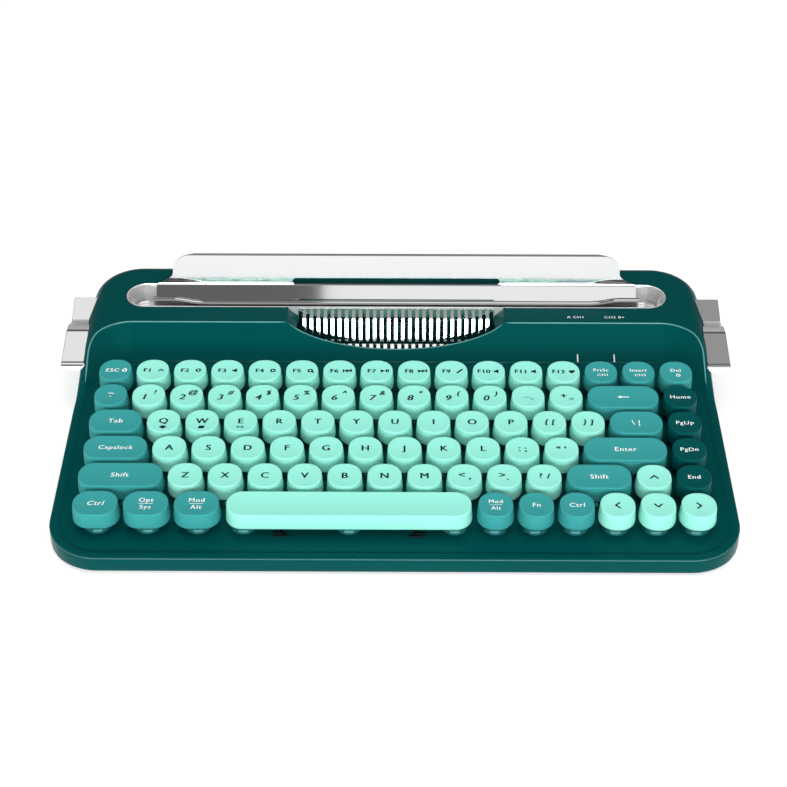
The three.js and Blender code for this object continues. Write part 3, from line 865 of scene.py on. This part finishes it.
def rest_object():
    """The bent sheet with its two slots."""
    line = rest_profile()
    n = len(line)
    us = np.concatenate([np.linspace(-1, -0.84, 14, endpoint=False), np.linspace(-0.84, 0.84, 43),
                         np.linspace(0.84, 1, 14)[1:]])
    verts, faces = [], []
    lip_count = next(k for k, (y, z) in enumerate(line) if z < 32.5)
    for side in (1, -1):
        for k, (y, z) in enumerate(line):
            a, b = line[max(k - 1, 0)], line[min(k + 1, n - 1)]
            t = Vector((b[0] - a[0], b[1] - a[1])).normalized()
            normal = (-t.y, t.x)
            half = rest_half(z) if k > n * 0.55 else REST_HALF
            lift = min((z - 31.0) / 6.5, 1.0) if k < lip_count else 0.0
            for u in us:
                x = u * half
                verts.append((x, y + normal[0] * 0.55 * side, z + normal[1] * 0.55 * side + lip_rise(x) * lift))
    m = len(us)

    def at(side, k, i):
        return (side * n + k) * m + i

    for k in range(n - 1):
        for i in range(m - 1):
            faces.append((at(0, k, i), at(0, k, i + 1), at(0, k + 1, i + 1), at(0, k + 1, i)))
            faces.append((at(1, k, i), at(1, k + 1, i), at(1, k + 1, i + 1), at(1, k, i + 1)))
    flat = len(faces)
    for k in range(n - 1):
        faces.append((at(0, k, 0), at(0, k + 1, 0), at(1, k + 1, 0), at(1, k, 0)))
        faces.append((at(0, k, m - 1), at(1, k, m - 1), at(1, k + 1, m - 1), at(0, k + 1, m - 1)))
    for i in range(m - 1):
        faces.append((at(0, 0, i), at(1, 0, i), at(1, 0, i + 1), at(0, 0, i + 1)))
        faces.append((at(0, n - 1, i), at(0, n - 1, i + 1), at(1, n - 1, i + 1), at(1, n - 1, i)))
    # The cut edge and the narrow strip along the top are painted dark grey: painted shade that draws a dark
    # reflection line along the sheet's edges.
    edges = [0] * (flat - 2 * (m - 1)) + [1] * (len(faces) - flat + 2 * (m - 1))
    obj = face_outwards(make_object("bent_rest", verts, faces, [REST_CHROME_PAINTED_SHADE, SHEET_EDGE_PAINTED_SHADE], face_materials=edges))

    upper = prism("u", rounded_loop(56, 1.85, 1.85, 8), -5, 5)
    upper.data.transform(Matrix.Translation((0, (BEND[0] + 1.85 * math.sin(LEAN)) * MM, (BEND[1] + 1.85) * MM))
                         @ Matrix.Rotation(math.pi / 2 - LEAN, 4, "X"))
    lower = prism("l", [(x, y + 76.5) for x, y in rounded_loop(53, 0.65, 0.64, 4)], 28, 38)
    cut(obj, [upper, lower])
    # The edge roundings take the same dark grey painted shade.
    return bevel(obj, 0.18, 2, 50, slot=1)


rest = rest_object()
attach(rest, "case")
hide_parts("paper_rest")


def slot_rib():
    """Ridge of the case that shows through the rest's lower slot, 0.35 mm under the sloping floor; it is given the
    paler key teal, painted light where the case would lie in shade.
    """
    section = [(76.1, 31.45), (76.7, 31.95), (79.3, 34.4), (79.7, 34.5), (79.9, 34.2), (79.9, 27.4), (76.1, 27.4)]
    loops = []
    for x, s in ((-51.6, 0.9), (-51.2, 1.0), (51.2, 1.0), (51.6, 0.9)):
        loops.append([(x, 78.2 + (y - 78.2) * s, 27.4 + (z - 27.4) * s) for y, z in section])
    verts, faces = loft(loops)
    return sharpen(face_outwards(make_object("case_slot_rib_painted_light", verts, faces, [TEAL])), 40)


rib = slot_rib()
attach(rib, "case")


def slab(near, far):
    """Solid between two matching outlines."""
    n = len(near)
    faces = [tuple(range(n)), tuple(range(2 * n - 1, n - 1, -1))]
    faces += [(i, n + i, n + (i + 1) % n, (i + 1) % n) for i in range(n)]
    return near + far, faces


def fin(x, half):
    """A type bar: upright blade with a sloping top and a steep front edge that ends in a small slug."""
    outline = [(63.6, 36.8), (58.4, 34.5), (58.0, 33.9), (53.4, 23.9), (52.6, 23.8), (52.0, 22.0), (52.4, 21.6),
               (51.1, 18.6), (52.0, 17.0), (59.2, 17.0)]
    verts = [(x - half, y, z) for y, z in outline] + [(x + half, y, z) for y, z in outline]
    n = len(outline)
    faces = [tuple(range(n - 1, -1, -1)), tuple(range(n, 2 * n))]
    faces += [(i, (i + 1) % n, n + (i + 1) % n, n + i) for i in range(n)]
    return verts, faces


def comb_object():
    """27 bars on a back plate with a foot."""
    verts, faces = [], []
    bar_pitch, bar_half, half = 3.75, 0.9, 52.0
    for i in range(27):
        add_part(verts, faces, *fin((i - 13) * bar_pitch, bar_half))
    back = [(63.4, 37.2), (58.9, 17.4), (41.0, 17.4), (41.0, 16.2), (59.8, 16.2), (64.1, 36.9)]
    add_part(verts, faces, *slab([(-half, y, z) for y, z in back], [(half, y, z) for y, z in back]))
    return bevel(face_outwards(make_object("typebar_basket", verts, faces, [CHROME])), 0.12, 2, 20)


comb = comb_object()
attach(comb, "case")
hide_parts("typebar_comb")


END_X = 173.5           # outer face of a carriage end


def shoulder_x(y, z):
    """Just outside the case's rounded shoulder at this height."""
    radius = float(side_radius(y))
    drop = max(float(border_z(y)) - z, 0.0)
    if drop >= radius:
        return BODY_HALF + 0.3
    return BODY_HALF - radius + math.sqrt(radius ** 2 - (radius - drop) ** 2) + 0.3


def carriage_end(name, node, side):
    """Stepped chrome block: rear facet, hollow band, front facet with a scored line, rounded nose."""
    top = [(75.2, 36.2), (61.6, 31.0), (60.0, 30.6), (58.4, 30.9), (56.4, 32.0), (53.6, 33.4), (50.4, 34.2),
           (46.6, 34.5), (44.6, 34.4), (25.0, 29.15), (24.5, 28.6), (24.0, 28.9), (23.0, 28.6), (22.5, 28.25),
           (22.2, 27.8), (21.25, 26.1)]
    outline = top + [(21.3, 25.6), (21.9, 25.2), (73.9, 25.2), (74.8, 25.6), (75.2, 26.5)]
    inner = [shoulder_x(y, z) for y, z in outline]
    verts, faces = slab([(x * side, y, z) for x, (y, z) in zip(inner, outline)],
                        [(END_X * side, y, z) for y, z in outline])
    # Two flat ends, then one face per outline edge: satin over the hollow, and painted shade (dark grey) in the
    # scored line.
    finish_and_painted_shade_slots = [0, 0] + [1 if 1 <= i <= 6 else 2 if i in (9, 10) else 0 for i in range(len(outline))]
    obj = face_outwards(make_object(name, verts, faces, [CHROME, SATIN, SHEET_EDGE_PAINTED_SHADE], face_materials=finish_and_painted_shade_slots))
    bevel(obj, 0.5, 3, 60)
    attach(obj, "case")
    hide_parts(node)


carriage_end("carriage_block_left", "carriage_end_left", -1)
carriage_end("carriage_block_right", "carriage_end_right", 1)


# ---- small case details
def stabilizer_object():
    """Wire of the space bar with a clip at each end."""
    unit = 3.79 + 6.18 / 2
    verts, faces = [], []

    def bar(x0, x1, y0, y1, z0, z1, r):
        loops = []
        for x, s in ((x0, 0.85), (x0 + 0.3, 1), (x1 - 0.3, 1), (x1, 0.85)):
            cy, cz, hy, hz = (y0 + y1) / 2, (z0 + z1) / 2, (y1 - y0) / 2 * s, (z1 - z0) / 2 * s
            loops.append([(x, cy + a, cz + b) for a, b in rounded_loop(hy, hz, r, 3)])
        v, f = loft(loops)
        add_part(verts, faces, place(v, unit, 5), f)

    bar(-32.5, 32.5, 7.4, 8.3, 0.3, 0.9, 0.3)
    for x, flip in ((-32, 1), (32, -1)):
        bar(x - 4.0, x + 4.0, -8.4, -7.6, 0.3, 0.8, 0.2)
        bar(x - 2.8 - 1.2 * flip, x + 2.8 - 1.2 * flip, -6.6, -5.6, 0.3, 0.85, 0.2)
        bar(x + 1.2 * flip - 0.6, x + 1.2 * flip + 0.6, -8.2, -5.8, 0.3, 0.8, 0.2)
        bar(x - 0.45, x + 0.45, -6.4, 8.2, 0.3, 0.9, 0.25)
    return sharpen(face_outwards(make_object("stabilizer_wire", verts, faces, [BLACK])), 40)


stabilizer = stabilizer_object()
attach(stabilizer, "case")
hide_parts("space_stabilizer")


def slit_object():
    """Two slim light pipes at the foot of the slope."""
    verts, faces = [], []
    for x in (95.6, 114.8):
        loops = []
        for lift, s in ((-0.8, 1.0), (0.12, 1.0), (0.2, 0.7)):
            loop = []
            for px, py in rounded_loop(0.33 * s, 2.2 * s, 0.32 * s, 4):
                y = 37.0 + py
                loop.append((x + px, y, case_top(x + px, y) + lift))
            loops.append(loop)
        add_part(verts, faces, *loft(loops))
    return make_object("indicator_slits", verts, faces, [LAMP])


slits = slit_object()
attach(slits, "case")


# ---- legends
def text_mesh(string, size, shear=0.0, stretch=1.1):
    """Flat text centred on the origin: points in millimetres and triangles."""
    curve = bpy.data.curves.new("t", "FONT")
    curve.body = string
    curve.size = size
    curve.shear = shear
    curve.space_character = 1.12
    curve.align_x = "CENTER"
    curve.align_y = "CENTER"
    curve.resolution_u = 3
    obj = new_object("t", curve)
    mesh = baked_mesh(obj)
    points = np.array([(v.co.x * stretch, v.co.y) for v in mesh.vertices], float).reshape(-1, 2)
    tris = [tuple(p.vertices) for p in mesh.polygons]
    bpy.data.meshes.remove(mesh)
    bpy.data.objects.remove(obj)
    bpy.data.curves.remove(curve)
    return points, tris


def shapes(*outlines):
    """Points and faces of flat outlines."""
    points, faces = [], []
    for outline in outlines:
        faces.append(tuple(range(len(points), len(points) + len(outline))))
        points += outline
    return points, faces


def band(outer, inner):
    """Points and quads between two matching outlines."""
    n = len(outer)
    return outer + inner, [(i, (i + 1) % n, n + (i + 1) % n, n + i) for i in range(n)]


def bar(x0, x1, half=0.8):
    return [(x0, -half), (x1, -half), (x1, half), (x0, half)]


RING = band(circle(0.95), circle(0.55))
# Small plain symbols, drawn about the origin.
ICONS = {
    "diamond": shapes([(-1.3, 0), (0, -0.9), (1.3, 0), (0, 0.9)]),
    "slant": shapes([(-1.2, -0.8), (0.7, -0.8), (1.2, 0.8), (-0.7, 0.8)]),
    "house": band([(-0.8, -0.9), (0.8, -0.9), (0.8, 0.15), (1.2, 0.15), (0, 1.15), (-1.2, 0.15), (-0.8, 0.15)],
                  [(-0.42, -0.5), (0.42, -0.5), (0.42, 0.25), (0.42, 0.3), (0, 0.62), (-0.42, 0.3), (-0.42, 0.25)]),
    "speaker": shapes([(-1.1, -0.4), (-0.5, -0.4), (0.4, -1.0), (0.4, 1.0), (-0.5, 0.4), (-1.1, 0.4)]),
    "pen": shapes([(-1.2, -1.1), (-0.7, -0.95), (1.2, 0.75), (0.8, 1.15), (-1.05, -0.6)]),
    "heart": shapes([(1.05 * math.sin(a) ** 3, 0.85 * math.cos(a) - 0.33 * math.cos(2 * a) - 0.13 * math.cos(3 * a))
                     for a in np.linspace(0, 2 * math.pi, 20, False)]),
    "chevron": shapes([(-1.7, -0.75), (-1.35, -1.0), (0, 0.45), (1.35, -1.0), (1.7, -0.75), (0, 1.05)]),
    "back": shapes(bar(-1.7, -1.4), [(0.1, -0.8), (0.1, 0.8), (-1.25, 0)], [(1.5, -0.8), (1.5, 0.8), (0.15, 0)]),
    "forward": shapes(bar(1.4, 1.7), [(-1.5, -0.8), (-0.15, 0), (-1.5, 0.8)],
                      [(-0.1, -0.8), (1.25, 0), (-0.1, 0.8)]),
    "play": shapes([(-1.5, -0.8), (-0.1, 0), (-1.5, 0.8)], bar(0.4, 0.7), bar(1.1, 1.4)),
    "lens": (RING[0] + [(0.55, -0.75), (0.8, -0.5), (1.5, -1.15), (1.25, -1.45)], RING[1] + [(32, 35, 34, 33)]),
    "ring": RING,
    "bar": shapes(bar(-3.4, 3.4, 0.14)),
    "arrow": shapes([(-3.4, 0), (-1.3, -1.15), (-1.3, -0.35), (3.4, -0.35), (3.4, 0.35), (-1.3, 0.35),
                     (-1.3, 1.15)]),
}


# Every mark is (text, x, y, font size, shear) or ("icon:" and its name, x, y, scale, degrees turned). The last
# number may be left out.
MARKS = {}


def mark(row, unit, marks, white=False):
    MARKS[(row, unit)] = ([(*m, 0.0)[:5] for m in marks], white)


def letter(c):
    return [(c, 0.0, 0.0, 5.2)]


for row, unit, text, x, size, shear in (
        (1, 15, "Home", 0, 3.5, 0.0), (2, 15, "PgUp", 0, 3.5, 0.0), (3, 15, "PgDn", 0, 3.5, 0.0),
        (4, 15, "End", 0, 3.5, 0.0), (2, 0, "Tab", 0, 4.0, 0.08), (3, 0, "Capslock", 0, 3.7, 0.08),
        (3, 12.75, "Enter", 0, 4.0, 0.0), (4, 0, "Shift", -0.4, 3.9, 0.1), (4, 12.25, "Shift", 0, 4.0, 0.0),
        (5, 0, "Ctrl", 0, 4.0, 0.2), (5, 11, "Fn", 0, 3.7, 0.05), (5, 12, "Ctrl", 0, 3.7, 0.05)):
    mark(row, unit, [(text, x, 0, size, shear)], True)
for unit, upper, lower, size, y, below, line in ((1.25, "Opt", "Sys", 3.6, 2.2, -2.4, 0.95),
                                                 (2.5, "Mod", "Alt", 3.6, 2.2, -2.4, 0.95),
                                                 (10, "Mod", "Alt", 3.2, 2.1, -2.3, 0.85)):
    mark(5, unit, [(upper, 0, y, size), ("icon:bar", 0, 0, line), (lower, 0, below, size)], True)
mark(0, 0, [("ESC", -1.6, 0, 3.5, 0.1), ("icon:house", 4.7, 0, 1.35)], True)
F_ICONS = "chevron ring speaker ring lens back play forward pen speaker speaker heart".split()
for i, kind in enumerate(F_ICONS):
    scale = 0.85 if kind == "chevron" else 1.35
    mark(0, 1 + i, [("F%d" % (i + 1), -2.6, 0, 3.8), ("icon:" + kind, 4.2, 0.1, scale)])
mark(0, 13, [("PrtSc", 0, 1.3, 3.0), ("CH1", 0.8, -2.4, 2.6)], True)
mark(0, 14, [("Insert", 0, 1.3, 3.0), ("CH2", 0.8, -2.4, 2.6)], True)
mark(0, 15, [("Del", 0, 1.3, 3.2), ("icon:ring", 1.0, -2.4, 1.15)], True)
mark(1, 0, [("~", 0, 1.6, 5.0), ("`", 0, -2.2, 5.0)], True)
for i, (digit, shifted) in enumerate(zip("1234567890", "!@#$%^&*()")):
    mark(1, 1 + i, [(digit, -2.2, -1.4, 5.6, 0.2), (shifted, 2.9, 2.1, 4.2, 0.2)])
mark(1, 11, [("-", 1.9, -1.4, 4.8), ("_", -0.8, 1.6, 5.2)])
mark(1, 12, [("+", -1.2, 0.5, 5.2), ("=", 2.6, -1.8, 3.6)])
mark(1, 13, [("icon:arrow", 0, 0, 0.85)], True)
for row, first, letters in ((2, 1.5, "QWERTYUIOP"), (3, 1.75, "ASDFGHJKL"), (4, 2.25, "ZXCVBNM")):
    for i, c in enumerate(letters):
        mark(row, first + i, letter(c))
mark(2, 1.5, letter("Q") + [("icon:diamond", 0, -4.4, 1.4)])
mark(2, 2.5, letter("W") + [("icon:slant", 0, -4.4, 1.3)])
mark(2, 3.5, letter("E") + [("icon:ring", -1.0, -4.2, 0.65), ("icon:ring", 1.0, -4.2, 0.65)])
mark(2, 11.5, [("{", -1.7, 0.3, 4.6, 0.15), ("[", 1.7, 0.3, 4.6, 0.15)])
mark(2, 12.5, [("}", -1.7, 0.3, 4.6, 0.15), ("]", 1.7, 0.3, 4.6, 0.15)])
mark(2, 13.5, [("\\", -1.6, 0, 4.6), ("|", 1.4, 0, 4.6)], True)
mark(3, 10.75, [(":", -1.4, 0.2, 5.6), (";", 1.6, 0, 5.6)])
mark(3, 11.75, [("\"", -1.5, -0.6, 5.6), ("'", 1.8, -0.6, 5.6)])
mark(4, 9.25, [("<", -1.2, 0.7, 5.4), (",", 2.6, -0.2, 5.4)])
mark(4, 10.25, [(">", -1.0, 0.7, 5.4), (".", 1.6, -0.6, 5.6)])
mark(4, 11.25, [("?", -1.7, 0.4, 4.6), ("/", 2.0, 0, 4.8)])
for row, unit, turn in ((4, 14, 0), (5, 13, 90), (5, 14, 180), (5, 15, 270)):
    mark(row, unit, [("icon:chevron", 0, 0, 1.25, turn)])


def mark_points(entry):
    """Outline points and faces of one mark on its key, in millimetres."""
    what, x, y, size, extra = entry
    if what.startswith("icon:"):
        points, faces = ICONS[what[5:]]
        points = np.array(points, float) * size
        a = math.radians(extra)
        turn = np.array([[math.cos(a), -math.sin(a)], [math.sin(a), math.cos(a)]])
        points = points @ turn.T
    else:
        points, faces = text_mesh(what, size, extra)
    return points + np.array([x, y]), faces


def build_legends():
    """One object of dark and one of white legends for each body."""
    pieces = {}
    for body, (row, unit, width) in ALL_KEYS:
        if (row, unit) not in MARKS:
            continue
        marks, white = MARKS[(row, unit)]
        rim = KEY_GAP / 2 + TAPER + EDGE
        hx, hy = width * PITCH / 2 - rim, PITCH / 2 - rim
        verts, faces = pieces.setdefault((body, white), ([], []))
        for entry in marks:
            points, polys = mark_points(entry)
            # Two prints a hair apart thicken the strokes; dark legends are the heavier ones.
            heavy = 0.05 if white else 0.17
            for shift, lift in ((-heavy, 0.03), (heavy, 0.036)):
                moved = points + np.array([shift, 0.0])
                z = top_height(moved[:, 0], moved[:, 1], hx, hy) + lift
                add_part(verts, faces, place(np.column_stack([moved, z]), unit + width / 2, row), polys)
    for (body, white), (verts, faces) in pieces.items():
        colour = "white" if white else "dark"
        name = "legend_%s_%s" % (colour, body.replace("keys_", "").replace("key_", ""))
        obj = make_object(name, verts, faces, [INK_WHITE if white else INK_DARK], False)
        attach(obj, body)


build_legends()

hump_marks = []
for string, x in (("A CH1", 95.2), ("CH2 B+", 115.8)):
    points, tris = text_mesh(string, 2.7)
    points = points + np.array([x, 55.9])
    z = np.array([case_top(px, py) for px, py in points]) + 0.05
    hump_marks.append(make_object("m", np.column_stack([points, z]), tris, [INK_WHITE], False))
hump_legend = join("legend_indicator_marks", hump_marks)
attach(hump_legend, "case")

# ---- remaining CAD nodes keep their shape
FINISH = {
    "bottom_case": CASE,
    "switch_plate": STEEL,
    "circuit_board": BOARD,
    "battery_pack": CELL,
    "power_switch": BLACK,
    "foot_front": RUBBER,
    "foot_rear": RUBBER,
}
for node, material in FINISH.items():
    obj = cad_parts[node]
    obj.data.materials.clear()
    obj.data.materials.append(material)

# ---- studio
def stage_material(name, colour, roughness, glow_strength):
    material, _, bsdf = node_tree(name)
    bsdf.inputs["Base Color"].default_value = (*colour, 1)
    bsdf.inputs["Roughness"].default_value = roughness
    bsdf.inputs["Emission Color"].default_value = (1, 1, 1, 1)
    bsdf.inputs["Emission Strength"].default_value = glow_strength
    return material


def stage_object(name, corners, faces, material):
    mesh = bpy.data.meshes.new(name)
    mesh.from_pydata(corners, [], faces)
    mesh.materials.append(material)
    return new_object(name, mesh)


floor = stage_object("floor", [(-5, -6, 0), (5, -6, 0), (5, 0.9, 0), (-5, 0.9, 0)], [(0, 1, 2, 3)],
                     stage_material("floor_pale", (0.50, 0.50, 0.50), 0.8, 0.58))

# A pale room far behind everything, seen by the camera only, so that it adds no light and no reflections.
backdrop_room = stage_object("backdrop", [(x, y, z) for z in (-0.02, 12) for y in (-12, 12) for x in (-12, 12)],
                             [(0, 1, 3, 2), (4, 6, 7, 5), (0, 4, 5, 1), (2, 3, 7, 6), (0, 2, 6, 4), (1, 5, 7, 3)],
                             stage_material("backdrop_pale", (0.0, 0.0, 0.0), 1.0, 1.0))
for rays in ("diffuse", "glossy", "transmission", "volume_scatter", "shadow"):
    setattr(backdrop_room, "visible_" + rays, False)

world = bpy.data.worlds.new("studio")
bpy.context.scene.world = world
world.use_nodes = True
wtree = world.node_tree
direction = wtree.nodes.new("ShaderNodeSeparateXYZ")
wtree.links.new(wtree.nodes.new("ShaderNodeTexCoord").outputs["Generated"], direction.inputs["Vector"])


def ramp(source, low, high, start=0.0, end=1.0):
    """Smooth step of a world direction value."""
    node = map_range(wtree, source, From_Min=low, From_Max=high, To_Min=start, To_Max=end)
    node.interpolation_type = "SMOOTHSTEP"
    return node.outputs["Result"]


def times(a, b):
    return math_node(wtree, "MULTIPLY", a, b)


def blend_value(mask, a, b):
    """a where the mask is 0 and b where it is 1; each is a number or a socket."""
    node = wtree.nodes.new("ShaderNodeMix")
    wtree.links.new(mask, node.inputs["Factor"])
    for key, value in (("A", a), ("B", b)):
        if isinstance(value, float):
            node.inputs[key].default_value = value
        else:
            wtree.links.new(value, node.inputs[key])
    return node.outputs["Result"]


# Brightness of the painted sky by direction. The chrome mirrors it: a bright horizon, dim sky overhead, a panel
# in front that is dark left of the middle, and two side panels behind.
dx, dy, dz = direction.outputs["X"], direction.outputs["Y"], direction.outputs["Z"]
side = math_node(wtree, "ABSOLUTE", dx)
horizon = blend_value(ramp(dy, 0.45, 0.75), 1.0, 0.12)
overhead = blend_value(ramp(dy, 0.05, 0.35), 0.46, 0.12)
glow = blend_value(ramp(dz, 0.30, 0.46), horizon, overhead)
front_panel = times(ramp(dy, -0.10, -0.20), ramp(dz, 0.60, 0.72))
glow = blend_value(front_panel, glow, ramp(dx, -0.0475, -0.0445, 0.172, 1.24))
side_panel = times(times(ramp(dy, 0.10, 0.20), ramp(dz, 0.80, 0.87)), ramp(side, 0.12, 0.17))
glow = blend_value(side_panel, glow, ramp(dx, -0.05, 0.05, 0.88, 0.33))
backdrop = wtree.nodes["Background"]
backdrop.inputs["Color"].default_value = (1, 1, 1, 1)
wtree.links.new(glow, backdrop.inputs["Strength"])


def area_light(name, location, size, power, size_y=None):
    """Softbox that faces the origin."""
    data = bpy.data.lights.new(name, "AREA")
    data.energy = power
    data.size = size
    if size_y:
        data.shape = "RECTANGLE"
        data.size_y = size_y
    obj = new_object(name, data)
    obj.location = location
    obj.rotation_euler = (-Vector(location)).to_track_quat("-Z", "Y").to_euler()
    return obj


area_light("front_softbox", (0.0, -2.6, 0.85), 3.6, 68, 0.65)
top_softbox = area_light("top_softbox", (0.0, -0.35, 3.0), 2.4, 48)
top_softbox.visible_glossy = False

FOCAL_PIXELS, IMAGE_PIXELS, SENSOR, LOOKS_DOWN = 1726.3, 787, 36, 36.18
camera_data = bpy.data.cameras.new("camera")
camera_data.lens = FOCAL_PIXELS / IMAGE_PIXELS * SENSOR
camera_data.sensor_width = SENSOR
camera = new_object("camera", camera_data)
camera.location = (0.0035, -0.7065, 0.5442)
camera.rotation_euler = (math.radians(90 - LOOKS_DOWN), 0, math.radians(0.357))
bpy.context.scene.camera = camera
bpy.context.scene.view_settings.view_transform = "Standard"

bpy.context.view_layer.update()
